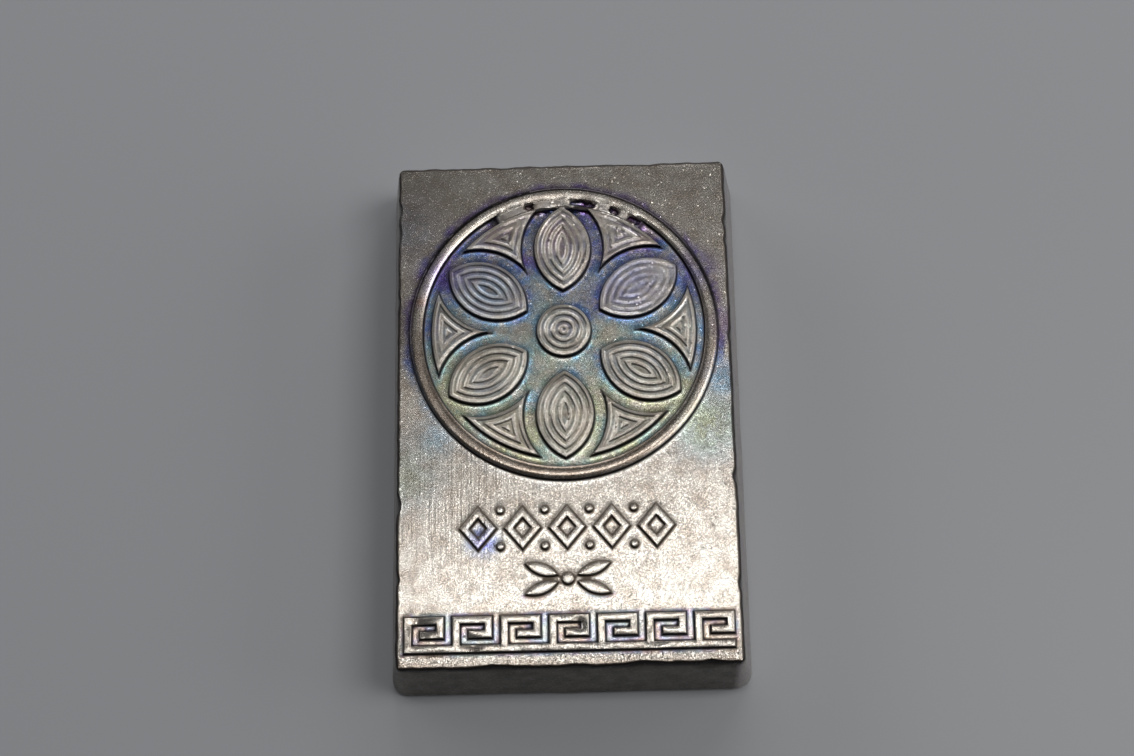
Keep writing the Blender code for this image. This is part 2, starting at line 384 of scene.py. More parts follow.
def band_share(depth):
    """1 on each flat band, 0 in the flat valleys between them."""
    walk = np.abs((np.maximum(depth - FIRST_CREST, 0) / RIDGE_PITCH + 0.5) % 1 - 0.5)
    return 1 - np.clip((walk - SLOPE_FROM) / (SLOPE_TO - SLOPE_FROM), 0, 1)


def ridged_height(depth, ridge_depth):
    return side_height(depth, RELIEF) - ridge_depth * (1 - band_share(depth))


# %% [markdown]
# ## What the pour did to it
# No casting is perfect. Where the medallion's upper channel was too thin the metal bridged it, leaving only a
# few dark pits. At the upper right the ridges came out faint. The last row, furthest from the sprue, is
# pitted and partly unfilled, and the whole face sank a little as the metal froze. Random fields come from
# Blender's own noise, which gives the same values on every run.

# %% Random fields and soft steps
def field(points, size, seed, octaves=3):
    """Smooth random values, one for each (x, y) or (x, y, z) point, with lumps about size mm across."""
    places = np.zeros((len(points), 3))
    places[:, : points.shape[1]] = points
    places = places / size + np.array((seed * 17.31, seed * -9.73, seed * 5.19))
    return np.array([noise.fractal(place, 1.0, 2.0, octaves) for place in places])


def soft_step(value, low, high):
    share = np.clip((value - low) / (high - low), 0, 1)
    return share * share * (3 - 2 * share)


def spot(x, y, centre, size):
    """1 at a centre, fading to 0 a few sizes away."""
    return np.exp(-((x - centre[0]) ** 2 + (y - centre[1]) ** 2) / size**2)


# %% The bridged channel, with its pits
BRIDGE_FROM, BRIDGE_TO = math.radians(50), math.radians(123)
BRIDGE_FULL = math.radians(9)
BRIDGE_HEIGHT = 0.84
BRIDGE_SKIN = 0.35
PITS = ((math.radians(81), 1.9), (math.radians(67), 0.7), (math.radians(58), 0.9), (math.radians(104), 0.6))
PIT_WIDTH, PIT_OFFSET, PIT_SQUARENESS = 0.42, 0.1, 6
BRIDGE_EASE_IN, BRIDGE_EASE_OUT, BRIDGE_WOBBLE = 0.6, 1.0, 0.04


def bridge_height(x, y, wobble):
    radius, angle = around_medallion(x, y)
    along = soft_step(angle, BRIDGE_FROM, BRIDGE_FROM + BRIDGE_FULL)
    along = along * (1 - soft_step(angle, BRIDGE_TO - BRIDGE_FULL, BRIDGE_TO))
    across = soft_step(radius, PAD_CIRCLE - BRIDGE_EASE_IN, PAD_CIRCLE)
    across = across * (1 - soft_step(radius, RING_OUTER - BRIDGE_EASE_OUT, RING_OUTER))
    height = BRIDGE_HEIGHT * along * across * (1 + BRIDGE_WOBBLE * wobble)
    middle = (PAD_CIRCLE + RING_INNER) / 2
    for pit_angle, pit_length in PITS:
        off_along = (angle - pit_angle) * middle / pit_length
        off_across = (radius - middle - PIT_OFFSET) / PIT_WIDTH
        height = height * (1 - np.exp(-(off_along**PIT_SQUARENESS) - off_across**PIT_SQUARENESS))
    return height


# %% Where ridges faded and where the metal did not fill
# centre, size, amount
FADED = (((11.0, 18.5), 6.5, 1.0), ((4.5, 26.5), 3.5, 1.0), ((-5.5, 27.0), 2.5, 1.0))
UNFILLED = (
    ((-20.6, -30.0), 1.5, 0.55),
    ((-13.0, -33.2), 1.0, 0.35),
    ((1.6, -30.6), 0.9, 0.4),
    ((11.5, -33.0), 1.2, 0.3),
)


def strongest_spot(x, y, spots):
    share = np.zeros(x.shape)
    for centre, size, amount in spots:
        share = np.maximum(share, amount * spot(x, y, centre, size))
    return share


# %% Height of the real relief face
SINK = 0.12
FACE_WAVE = 0.014
KEY_BAND_TOP, KEY_BAND_EASE = -28.65, 0.5
WAVE_SIZE, LUMP_SIZE, FADE_SIZE, STARVED_SIZE = 9.0, 1.1, 2.5, 3.5
FADED_RIDGES, FADED_HEIGHT, FADED_TONE = 0.95, 0.12, 0.8
STARVED_MEAN, STARVED_SWING, STARVED_MOST, MISSING_MOST = 0.02, 0.15, 0.1, 0.85
ROUGH, ROUGH_IN_KEY, ROUGH_FADED, ROUGH_STARVED = 0.003, 0.012, 0.005, 0.06


def face_height(x, y):
    """Height over the table for points on the relief face, and how deep each lies inside raised work."""
    points = np.column_stack((x, y))
    ring, ridged, rows, key = all_depths(x, y)
    wave, lumps = field(points, WAVE_SIZE, 1), field(points, LUMP_SIZE, 2)
    faded = np.clip(strongest_spot(x, y, FADED) * (1 + 0.5 * field(points, FADE_SIZE, 3)), 0, 1)
    rise = np.maximum.reduce((
        side_height(ring, RELIEF, RING_CREST_SHARE, RING_SHOULDER, RING_CREST),
        ridged_height(ridged, RIDGE_DEPTH * (1 - FADED_RIDGES * faded)),
        side_height(rows, ROW_RELIEF),
        side_height(key, ROW_RELIEF),
    ))
    rise = rise * (1 - FADED_HEIGHT * faded)
    in_key = 1 - soft_step(y, KEY_BAND_TOP - KEY_BAND_EASE, KEY_BAND_TOP + KEY_BAND_EASE)
    starved = STARVED_MEAN + STARVED_SWING * field(points, STARVED_SIZE, 4)
    starved = in_key * np.clip(starved, 0, STARVED_MOST) + strongest_spot(x, y, UNFILLED)
    rise = rise * (1 - np.clip(starved, 0, MISSING_MOST))
    bridge = bridge_height(x, y, lumps)
    rise = np.maximum(rise, bridge)
    rough = ROUGH + ROUGH_IN_KEY * in_key + ROUGH_FADED * faded + ROUGH_STARVED * starved
    reach = np.clip(1 - (2 * x / BASE_WIDTH) ** 2, 0, 1) * np.clip(1 - (2 * y / BASE_LENGTH) ** 2, 0, 1)
    ground = FACE_HEIGHT - SINK * reach + FACE_WAVE * wave + rough * lumps
    crest = np.where(ridged > 0, 1 - (1 - band_share(ridged)) * (1 - FADED_TONE * faded), 1.0)
    bridged = np.where(bridge > 0, bridge - BRIDGE_SKIN, -np.inf)
    depth = np.maximum.reduce((ring, ridged, rows, key, bridged))
    return ground + rise, depth, crest


# %% [markdown]
# ## One mesh that follows every outline
# A plain grid would cut the outlines into stairs. Instead the nested loops of every shape are handed to a
# constrained Delaunay triangulation, which keeps each of their edges, and the plain ground between them is
# filled with evenly spread points. The loops lie where the height changes its slope: at the foot of a side,
# at both ends of its shoulder, on its crown, and at the edges of every band and valley.

# %% Collect the loops
SIDE_LOOPS = (0, WALL_LEAN, SHOULDER_END)
PLAIN_LOOPS = (*SIDE_LOOPS, 0.4)
SPRIG_LOOPS = (*PLAIN_LOOPS, 0.65)
RING_LOOPS = (0, WALL_LEAN, RING_SHOULDER, 0.68, RING_CREST)
RIDGE_BREAKS = (-SLOPE_TO, -SLOPE_FROM, SLOPE_FROM, SLOPE_TO)
PAD_DEEPEST = 2.6
LOOP_MARGIN = 0.1
loops = []


def add_loop(outline, turn=0.0, x=0.0, y=0.0):
    """Keep an outline, turned about its own origin and then moved."""
    c, s = math.cos(turn), math.sin(turn)
    loops.append(outline @ np.array(((c, s), (-s, c))) + (x, y))


def ridge_insets(deepest):
    """Insets at the foot and shoulder, and wherever the wave of bands and valleys changes its slope."""
    count = math.ceil(deepest / RIDGE_PITCH) + 1
    breaks = [FIRST_CREST + RIDGE_PITCH * (i + share) for i in range(count) for share in RIDGE_BREAKS]
    return [*SIDE_LOOPS, *(inset for inset in breaks if SHOULDER_END + LOOP_MARGIN < inset < deepest)]


for inset in RING_LOOPS:
    add_loop(ring_outline(inset), y=MEDALLION_Y)
    add_loop(circle_outline(RING_INNER + inset), y=MEDALLION_Y)
for inset in ridge_insets(BOSS_RADIUS - LOOP_MARGIN):
    add_loop(circle_outline(BOSS_RADIUS - inset), y=MEDALLION_Y)
for sector in range(PETALS):
    turn = math.pi / 2 + SECTOR * sector
    for inset in ridge_insets(PETAL_WIDTH / 2 - LOOP_MARGIN):
        add_loop(leaf_outline(PETAL_START, PETAL_LENGTH, PETAL_WIDTH, inset), turn, y=MEDALLION_Y)
    for inset in ridge_insets(PAD_DEEPEST):
        add_loop(rim_pad_outline(inset), turn + SECTOR / 2, y=MEDALLION_Y)
for index in range(LOZENGES):
    x = (index - (LOZENGES - 1) / 2) * LOZENGE_PITCH
    for inset in (*PLAIN_LOOPS, *(STROKE - inset for inset in PLAIN_LOOPS)):
        add_loop(lozenge_outline(inset), x=x, y=LOZENGE_ROW_Y)
for x, y in bead_centres():
    for inset in PLAIN_LOOPS:
        add_loop(circle_outline(BEAD_RADIUS - inset), x=x, y=y + LOZENGE_ROW_Y)
for inset in SPRIG_LOOPS:
    add_loop(circle_outline(SPRIG_BEAD - inset), y=SPRIG_ROW_Y)
    for turn in sprig_turns():
        leaf = leaf_outline(SPRIG_LEAF_START, SPRIG_LEAF_LENGTH, SPRIG_LEAF_WIDTH, inset)
        add_loop(leaf, turn, y=SPRIG_ROW_Y)
for inset in PLAIN_LOOPS:
    add_loop(key_outline(inset), y=KEY_ROW_Y)
print(f"{len(loops)} loops, {sum(len(loop) for loop in loops)} points on them")

# %% [markdown]
# ## The sections of the block
# The rest of the block is a stack of rounded rectangles, from the edge of the relief face, down the drafted
# walls and round the full pour edge. They all have the same number of points, so neighbours join point to
# point. The first of them is also the rim of the triangulated face.

# %% Rounded rectangles
WALL_STEP = 0.5
CORNER_STEPS = 6
EDGE_STEPS = 5


def section_outline(inset, corner):
    """A rounded rectangle, anticlockwise, whose points match those of every other section."""
    half_x, half_y = HALF_WIDTH - inset - corner, HALF_LENGTH - inset - corner
    quarters = ((half_x, half_y), (-half_x, half_y), (-half_x, -half_y), (half_x, -half_y))
    points = []
    for quarter, (x, y) in enumerate(quarters):
        angles = math.pi / 2 * (quarter + np.arange(CORNER_STEPS + 1) / CORNER_STEPS)
        bend = np.column_stack((x + corner * np.cos(angles), y + corner * np.sin(angles)))
        next_x, next_y = quarters[(quarter + 1) % 4]
        turn = math.pi / 2 * (quarter + 1)
        start = bend[-1]
        end = np.array((next_x + corner * math.cos(turn), next_y + corner * math.sin(turn)))
        side = BASE_WIDTH if quarter % 2 == 0 else BASE_LENGTH
        count = round(side / WALL_STEP)
        straight = start + (end - start) * (np.arange(1, count) / count)[:, None]
        points += [bend, straight]
    return np.concatenate(points)


def block_sections():
    """(inset, height, corner radius) from the relief face's edge down to the pour face's edge."""
    sections = []
    for turn in np.linspace(0, math.pi / 2, EDGE_STEPS):
        tuck = FACE_EDGE * (1 - math.sin(turn))
        height = FACE_HEIGHT - FACE_EDGE * (1 - math.cos(turn))
        sections.append((WALL_DRAFT + tuck, height, FACE_CORNER - tuck))
    top, bottom = FACE_HEIGHT - FACE_EDGE, POUR_EDGE
    rows = round((top - bottom) / WALL_STEP)
    for share in np.arange(1, rows) / rows:
        corner = FACE_CORNER + (BASE_CORNER - FACE_CORNER) * share
        sections.append((WALL_DRAFT * (1 - share), top + (bottom - top) * share, corner))
    for turn in np.linspace(0, math.pi / 2, EDGE_STEPS + 2):
        tuck = POUR_EDGE * (1 - math.cos(turn))
        sections.append((tuck, POUR_EDGE * (1 - math.sin(turn)), BASE_CORNER - tuck))
    return sections


sections = block_sections()
section_points = [section_outline(inset, corner) for inset, _, corner in sections]
print(f"{len(sections)} sections of {len(section_points[0])} points")

# %% Fill the ground with evenly spread points
FACE_STEP = 0.34
POUR_STEP = 0.8
JITTER = 0.15
FILL_CORNER = 1.2


def spread(step, inset, seed):
    """Points in offset rows with a little jitter, kept inside the section with that inset."""
    rng = np.random.default_rng(seed)
    half_x, half_y = HALF_WIDTH - inset, HALF_LENGTH - inset
    rows = np.arange(-half_y, half_y, step * math.sqrt(3) / 2)
    columns = np.arange(-half_x, half_x, step)
    x, y = np.meshgrid(columns, rows)
    x = x + np.where(np.arange(len(rows)) % 2, step / 2, 0)[:, None]
    points = np.column_stack((x.ravel(), y.ravel()))
    points += rng.uniform(-JITTER, JITTER, points.shape) * step
    past_x = np.maximum(np.abs(points[:, 0]) - half_x + FILL_CORNER, 0)
    past_y = np.maximum(np.abs(points[:, 1]) - half_y + FILL_CORNER, 0)
    return points[np.hypot(past_x, past_y) < FILL_CORNER]


face_fill = spread(FACE_STEP, WALL_DRAFT + FACE_EDGE + FACE_STEP / 2, seed=7)
fill_depth = np.maximum.reduce(all_depths(*face_fill.T))
face_fill = face_fill[fill_depth < -FACE_STEP / 2]
print(f"{len(face_fill)} points fill the ground")


# %% Triangulate inside a rim
INSIDE_ONLY = 1
CLOSEST = 1e-6


def triangulated(rim, inner_loops, fill):
    """Points and triangles inside the rim, which keep every loop's edges, and where the rim's points went."""
    chains = [rim, *inner_loops]
    points = [Vector(point) for point in np.concatenate((*chains, fill))]
    edges, first = [], 0
    for chain in chains:
        ids = np.arange(first, first + len(chain))
        edges += np.column_stack((ids, np.roll(ids, -1))).tolist()
        first += len(chain)
    found, _, triangles, sources, _, _ = delaunay_2d_cdt(points, edges, [], INSIDE_ONLY, CLOSEST)
    places = {source: place for place, all_sources in enumerate(sources) for source in all_sources}
    return np.array(found), triangles, [places[i] for i in range(len(rim))]


face_points, face_triangles, face_rim = triangulated(section_points[0], loops, face_fill)
pour_fill = spread(POUR_STEP, POUR_EDGE + POUR_STEP / 2, seed=8)
pour_points, pour_triangles, pour_rim = triangulated(section_points[-1], [], pour_fill)
print(f"relief face {len(face_triangles)} triangles, pour face {len(pour_triangles)}")

# %% [markdown]
# ## The pour face
# The other side is the open top of the mould. Bismuth swells as it freezes, but its skin freezes first and
# is drawn into a shallow dish with frost-like wrinkles. The rim stays flat, so the bar lies still.

# %% Height of the pour face
DISH = 0.22
DISH_MARGIN = 5.0
WRINKLE, WRINKLE_SIZE = 0.05, 4.5


def margin(x, y, inset):
    """How far points lie inside the base's four sides once these are drawn in by an inset."""
    return np.minimum(HALF_WIDTH - inset - np.abs(x), HALF_LENGTH - inset - np.abs(y))


def pour_height(x, y):
    inward = soft_step(margin(x, y, POUR_EDGE), 0, DISH_MARGIN)
    wrinkles = 1 - np.abs(field(np.column_stack((x, y)), WRINKLE_SIZE, 21, 4))
    return inward * (DISH + WRINKLE * wrinkles)


# %% [markdown]
# ## Nicks and wavy edges
# The mould's parting edge leaves a wavy line, and bars knock against each other in a box. Points near an edge
# are pushed inwards, wall by wall: shallow waves and the laps of the flowing metal all over a wall, finer
# waves and nicks near its top. Each push fades over a millimetre of the face, so nothing is torn.

# %% Push the walls about
WALL_WAVE, WALL_WAVE_SIZE = 0.05, 6.0
EDGE_WAVE, EDGE_WAVE_SIZE, EDGE_WAVE_MEAN = 0.11, 1.6, 0.6
LAP_DEPTH, LAP_SIZE, LAP_STRETCH = 0.035, 1.5, (0.16, 0.16, 1.0)
LIP_FROM, LIP_TO = 1.6, 0.2
EDGE_REACH = 0.75
# place along the wall, width, depth
NICKS = {
    "left": ((30.1, 0.9, 0.45), (26.5, 1.3, 0.3), (16.0, 0.8, 0.22), (-13.6, 1.2, 0.5), (-24.0, 0.7, 0.3)),
    "right": ((27.4, 0.8, 0.35), (24.3, 0.6, 0.3), (10.0, 0.8, 0.2), (-10.6, 0.8, 0.5), (-25.5, 0.9, 0.25)),
    "far": ((-8.0, 1.0, 0.15), (12.5, 1.4, 0.18)),
    "near": ((-10.0, 2.2, 0.3), (1.0, 1.5, 0.2), (9.5, 1.8, 0.35), (19.0, 1.1, 0.3), (15.0, 8.0, 0.22)),
}
WALLS = {"left": (0, -1), "right": (0, 1), "far": (1, 1), "near": (1, -1)}


def knocked(points):
    """The points with each wall's waves and nicks pressed in."""
    height = points[:, 2]
    lean = WALL_DRAFT * np.clip((height - POUR_EDGE) / (FACE_HEIGHT - FACE_EDGE - POUR_EDGE), 0, 1)
    moved = points.copy()
    for seed, (wall, (axis, sign)) in enumerate(WALLS.items()):
        clearance = (HALF_WIDTH, HALF_LENGTH)[axis] - lean - sign * points[:, axis]
        fade = np.exp(-((np.maximum(clearance, 0) / EDGE_REACH) ** 2))
        near_top = soft_step(height, FACE_HEIGHT - LIP_FROM, FACE_HEIGHT - LIP_TO)
        above_table = soft_step(height, 0, POUR_EDGE)
        push = WALL_WAVE * (1 + field(points, WALL_WAVE_SIZE, 30 + seed)) * above_table
        push += EDGE_WAVE * near_top * (EDGE_WAVE_MEAN + field(points, EDGE_WAVE_SIZE, 40 + seed, 4))
        push += LAP_DEPTH * above_table * (1 + field(points * LAP_STRETCH, LAP_SIZE, 50 + seed, 2))
        for place, width, depth in NICKS[wall]:
            push += depth * near_top * np.exp(-(((points[:, 1 - axis] - place) / width) ** 2))
        moved[:, axis] -= sign * fade * np.maximum(push, 0)
    return moved


# %% Put the three regions together
face_z, face_depth, face_crest = face_height(*face_points.T)
face_vertices = np.column_stack((face_points, face_z))
face_vertices[face_rim, 2] = FACE_HEIGHT
face_depth[face_rim] = FAR_OUTSIDE

vertices = [face_vertices]
rows = [np.array(face_rim)]
count = len(face_vertices)
for (_, height, _), outline in zip(sections[1:-1], section_points[1:-1]):
    vertices.append(np.column_stack((outline, np.full(len(outline), height))))
    rows.append(np.arange(count, count + len(outline)))
    count += len(outline)
pour_vertices = np.column_stack((pour_points, pour_height(*pour_points.T)))
pour_vertices[pour_rim, 2] = 0
vertices.append(pour_vertices)
rows.append(np.array(pour_rim) + count)
moulded = np.concatenate(vertices)
all_vertices = knocked(moulded)

faces, zones = [], []
FACE_ZONE, WALL_ZONE, POUR_ZONE = 0, 1, 2
for triangle in face_triangles:
    faces.append(tuple(triangle))
    zones.append(FACE_ZONE)
for level, (upper, lower) in enumerate(zip(rows, rows[1:])):
    quads = np.column_stack((lower, np.roll(lower, -1), np.roll(upper, -1), upper))
    faces += [tuple(quad) for quad in quads.tolist()]
    zones += [FACE_ZONE if level < EDGE_STEPS - 1 else WALL_ZONE] * len(quads)
for triangle in pour_triangles:
    faces.append(tuple(count + i for i in reversed(triangle)))
    zones.append(POUR_ZONE)
print(f"{len(all_vertices)} vertices, {len(faces)} faces")


# %% Make the mesh
SHARP_OVER = math.radians(24)


def add_values(mesh, name, values):
    """One number for each point of the mesh, which materials can read by name."""
    mesh.attributes.new(name, "FLOAT", "POINT").data.foreach_set("value", values.astype(np.float32))


def make_casting():
    mesh = bpy.data.meshes.new("bismuth_casting")
    mesh.from_pydata((all_vertices * MM).tolist(), [], faces)
    mesh.polygons.foreach_set("material_index", zones)
    mesh.shade_smooth()
    mesh.set_sharp_from_angle(angle=SHARP_OVER)
    below_face = len(all_vertices) - len(face_depth)
    add_values(mesh, "relief_depth", np.append(face_depth, np.full(below_face, FAR_OUTSIDE)))
    add_values(mesh, "ridge_crest", np.append(face_crest, np.zeros(below_face)))
    add_values(mesh, "edge_reach", margin(moulded[:, 0], moulded[:, 1], WALL_DRAFT))
    mesh.validate(verbose=True)
    mesh.update()
    made = bpy.data.objects.new("bismuth_casting", mesh)
    bpy.context.scene.collection.objects.link(made)
    return made


casting = make_casting()
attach(casting, "root")
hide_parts("cast_bar")
print("casting measures", [round(side * 1000, 2) for side in casting.dimensions], "mm")


# %% [markdown]
# ## Node helpers
# Shader node trees are easier to read when every node is made by one call that names its settings and what
# feeds it. Short helpers on top of that call do sums, mixes, ramps, clouds and cells, for the materials and
# for the node groups that they share. A socket knows the tree it is in, so a helper makes its node beside
# whatever feeds it.

# %% Helpers for nodes
def feed(socket, value):
    """Give an input a value, or link it to a socket."""
    if isinstance(value, bpy.types.NodeSocket):
        socket.id_data.links.new(value, socket)
    else:
        socket.default_value = value


def add(kind, inputs, **settings):
    """The outputs of a new shader node. Each input is a value or a socket, and at least one is a socket."""
    tree = next(value.id_data for value in inputs.values() if isinstance(value, bpy.types.NodeSocket))
    node = tree.nodes.new("ShaderNode" + kind)
    for name, value in settings.items():
        setattr(node, name, value)
    for name, value in inputs.items():
        feed(node.inputs[name], value)
    return node.outputs


def maths(operation, first, second=0.0):
    return add("Math", {0: first, 1: second}, operation=operation)[0]


def times(first, second):
    return maths("MULTIPLY", first, second)


def plus(first, second):
    return maths("ADD", first, second)


def minus(first, second):
    return maths("SUBTRACT", first, second)


def higher(first, second):
    return maths("MAXIMUM", first, second)


def vectors(operation, first, second=(0, 0, 0), output="Vector"):
    return add("VectorMath", {0: first, 1: second}, operation=operation)[output]


def parts(vector):
    """The X, Y and Z of a vector."""
    return add("SeparateXYZ", {0: vector})


def blended(factor, first, second):
    return add("Mix", {"Factor": factor, "A": first, "B": second})["Result"]


def mixed(factor, first, second, blend="MIX"):
    """Two colours mixed, or the second multiplied onto the first."""
    node = factor.id_data.nodes.new("ShaderNodeMix")
    node.data_type = "RGBA"
    node.blend_type = blend
    for name, value in (("Factor_Float", factor), ("A_Color", first), ("B_Color", second)):
        feed(next(s for s in node.inputs if s.identifier == name), value)
    return next(s for s in node.outputs if s.identifier == "Result_Color")


def ramped(value, low, high, to_low=0.0, to_high=1.0):
    inputs = {"Value": value, "From Min": low, "From Max": high, "To Min": to_low, "To Max": to_high}
    return add("MapRange", inputs, interpolation_type="SMOOTHSTEP")["Result"]


def clouded(place, scale, detail, roughness=0.5):
    inputs = {"Vector": place, "Scale": scale, "Detail": detail, "Roughness": roughness}
    return add("TexNoise", inputs)["Fac"]


def cells(place, scale):
    """A pattern of cells, and the red, green and blue of each cell's own random colour."""
    pattern = add("TexVoronoi", {"Vector": place, "Scale": scale}, feature="F1")
    return pattern, add("SeparateColor", {"Color": pattern["Color"]})


# %% Helpers for node groups
FLOAT, VECTOR, COLOUR = "NodeSocketFloat", "NodeSocketVector", "NodeSocketColor"


def new_group(name, inputs, outputs):
    """A node group with named sockets, and its input node's sockets by name."""
    group = bpy.data.node_groups.new(name, "ShaderNodeTree")
    for socket, (kind, default) in inputs.items():
        made = group.interface.new_socket(socket, in_out="INPUT", socket_type=kind)
        if default is not None:
            made.default_value = default
    for socket, kind in outputs.items():
        group.interface.new_socket(socket, in_out="OUTPUT", socket_type=kind)
    return group, group.nodes.new("NodeGroupInput").outputs


def finish_group(group, results):
    output = group.nodes.new("NodeGroupOutput")
    for name, socket in results.items():
        feed(output.inputs[name], socket)
    return group


def use_group(group, inputs):
    return add("Group", inputs, node_tree=group)


# %% [markdown]
# ## The oxide film
# A film of oxide a few hundred nanometres thick is clear, but light bounced from its top and its bottom
# interferes, and the colour that is left depends on the thickness. Going thicker, bare metal turns straw,
# copper, magenta, violet, blue, cyan, teal, green and pale yellow. A colour ramp holds that walk, and the
# group only needs to be told how thick the film is and how much of the metal it covers.

# %% Group: oxide film
METAL = (0.72, 0.675, 0.61, 1)
FILM_COLOURS = (
    (0.00, METAL[:3]),
    (0.14, (0.66, 0.52, 0.36)),
    (0.24, (0.55, 0.29, 0.24)),
    (0.33, (0.36, 0.17, 0.38)),
    (0.42, (0.20, 0.15, 0.55)),
    (0.52, (0.16, 0.28, 0.70)),
    (0.64, (0.30, 0.55, 0.78)),
    (0.76, (0.38, 0.58, 0.56)),
    (0.88, (0.58, 0.62, 0.40)),
    (1.00, (0.70, 0.64, 0.52)),
)


def make_film_group():
    inputs = {"Thickness": (FLOAT, 0.5), "Cover": (FLOAT, 1.0), "Metal": (COLOUR, METAL)}
    group, given = new_group("Oxide film", inputs, {"Color": COLOUR})
    ramp = group.nodes.new("ShaderNodeValToRGB")
    feed(ramp.inputs["Fac"], given["Thickness"])
    stops = ramp.color_ramp.elements
    for place, colour in FILM_COLOURS[1:-1]:
        stops.new(place).color = (*colour, 1)
    stops[0].color = (*FILM_COLOURS[0][1], 1)
    stops[-1].color = (*FILM_COLOURS[-1][1], 1)
    return finish_group(group, {"Color": mixed(given["Cover"], given["Metal"], ramp.outputs["Color"])})


film_group = make_film_group()
print("film colours:", len(FILM_COLOURS))

# %% [markdown]
# ## The cast grain
# Up close the skin is frosted: grains a fifth of a millimetre across met the mould and froze, each tilted a
# little differently. A few tilt much more than the rest and glint, and here and there a tiny bead of metal
# stands up and sparkles. Fine streaks run along the bar where the mould was wiped, and gas pits are scattered
# about. The group gives a height in millimetres for a Bump node, and masks for colour and roughness.

# %% Group: cast grain
BEADS_PER_MM, PITS_PER_MM = 2.0, 0.5
BEAD_SIZE, PIT_SIZE = 0.2, 0.12
STREAK_STRETCH = (2.4, 0.12, 1.0)
GLINTS_FROM, GLINTS_TO = 0.94, 0.99


def make_grain_group():
    inputs = {
        "Position": (VECTOR, None),
        "Grain Size": (FLOAT, 0.35),
        "Frost": (FLOAT, 0.01),
        "Facets": (FLOAT, 0.06),
        "Glints": (FLOAT, 9.0),
        "Sparkle": (FLOAT, 0.0),
        "Streaks": (FLOAT, 0.0),
        "Pits": (FLOAT, 0.0),
    }
    group, given = new_group(
        "Cast grain", inputs, {"Height": FLOAT, "Speckle": FLOAT, "Pit Mask": FLOAT, "Mottle": FLOAT}
    )
    place = given["Position"]
    fineness = maths("DIVIDE", 1.0, given["Grain Size"])
    frost = clouded(place, fineness, 2.0, 0.7)
    facets, facet_picks = cells(place, fineness)
    offset = vectors("SUBTRACT", place, facets["Position"])
    lean = vectors("SUBTRACT", facets["Color"], (0.5, 0.5, 0.5))
    glint = ramped(facet_picks["Blue"], GLINTS_FROM, GLINTS_TO, 1.0, given["Glints"])
    tilt = vectors("DOT_PRODUCT", offset, lean, "Value")
    tilt = times(tilt, times(given["Facets"], glint))

    beads, bead_picks = cells(place, BEADS_PER_MM)
    bead = ramped(beads["Distance"], 0.0, BEAD_SIZE, 1.0, 0.0)
    bead = times(bead, ramped(bead_picks["Green"], 0.35, 0.8))
    streaks = clouded(vectors("MULTIPLY", place, STREAK_STRETCH), 1.0, 3.0)
    pits, pit_picks = cells(place, PITS_PER_MM)
    pit_size = ramped(pit_picks["Red"], 0.6, 1.0, 0.0, PIT_SIZE)
    pit_mask = ramped(minus(pit_size, pits["Distance"]), 0.0, 0.04)

    height = plus(times(frost, given["Frost"]), tilt)
    height = plus(height, times(bead, given["Sparkle"]))
    height = plus(height, times(streaks, given["Streaks"]))
    height = minus(height, times(pit_mask, given["Pits"]))
    speckle, mottle = ramped(frost, 0.35, 0.65), clouded(place, 0.4, 6.0)
    results = {"Height": height, "Speckle": speckle, "Pit Mask": pit_mask, "Mottle": mottle}
    return finish_group(group, results)


grain_group = make_grain_group()
print("grain group:", len(grain_group.nodes), "nodes")

# %% [markdown]
# ## Painted shade on the sides, bright crests
# Handling rubs the crests. Corners and steep sides get near-black painted shade for the shade that falls
# there.
# Both can be read from the shape: the sides from how steep the surface is, the corners from how near a point
# lies to the foot of raised work, which the mesh carries as an attribute in millimetres.

# %% Group: rubbed crests and painted shade
def make_wear_and_shade_group():
    group, given = new_group(
        "Rubbed crests and painted shade",
        {"Depth": (FLOAT, FAR_OUTSIDE), "Steepness": (FLOAT, 0.0), "Corner Reach": (FLOAT, 0.3)},
        {"Painted Shade": FLOAT, "Raised": FLOAT, "Clearance": FLOAT},
    )
    clearance = higher(times(given["Depth"], -1.0), 0.0)
    near = maths("DIVIDE", clearance, given["Corner Reach"])
    raised = ramped(given["Depth"], 0.0, 0.25)
    corner = times(ramped(near, 0.0, 1.0, 1.0, 0.0), minus(1.0, raised))
    # painted shade: near-black in the corners at the foot of raised work and on steep sides
    corner_and_side_shade = higher(corner, ramped(given["Steepness"], 0.35, 0.65))
    return finish_group(group, {"Painted Shade": corner_and_side_shade, "Raised": raised, "Clearance": clearance})


wear_and_shade_group = make_wear_and_shade_group()


# %% Materials start and end alike
def start_material(name):
    """A metal with its Principled shader, its position in millimetres and its steepness."""
    material = bpy.data.materials.new(name)
    material.use_nodes = True
    tree = material.node_tree
    shader = tree.nodes["Principled BSDF"]
    shader.inputs["Metallic"].default_value = 1.0
    coordinates = tree.nodes.new("ShaderNodeTexCoord").outputs["Object"]
    _, _, up = parts(tree.nodes.new("ShaderNodeNewGeometry").outputs["Normal"])
    steepness = minus(1.0, maths("ABSOLUTE", up))
    return material, shader, vectors("MULTIPLY", coordinates, (1 / MM,) * 3), steepness


def finish_material(shader, colour, rough, height):
    """Link the colour, the roughness and a bump whose height is in millimetres."""
    bump = add("Bump", {"Height": height, "Distance": MM, "Strength": 1.0})["Normal"]
    for name, socket in (("Base Color", colour), ("Roughness", rough), ("Normal", bump)):
        feed(shader.inputs[name], socket)


def point_values(tree, name):
    """The numbers that the mesh carries for its points under a name."""
    node = tree.nodes.new("ShaderNodeAttribute")
    node.attribute_name = name
    return node.outputs["Fac"]


def spot_mask(place, centre, size):
    """1 at a centre on the relief face, fading to 0 at size millimetres away."""
    flat = vectors("MULTIPLY", place, (1, 1, 0))
    return ramped(vectors("DISTANCE", flat, (*centre, 0), "Value"), 0.0, size, 1.0, 0.0)
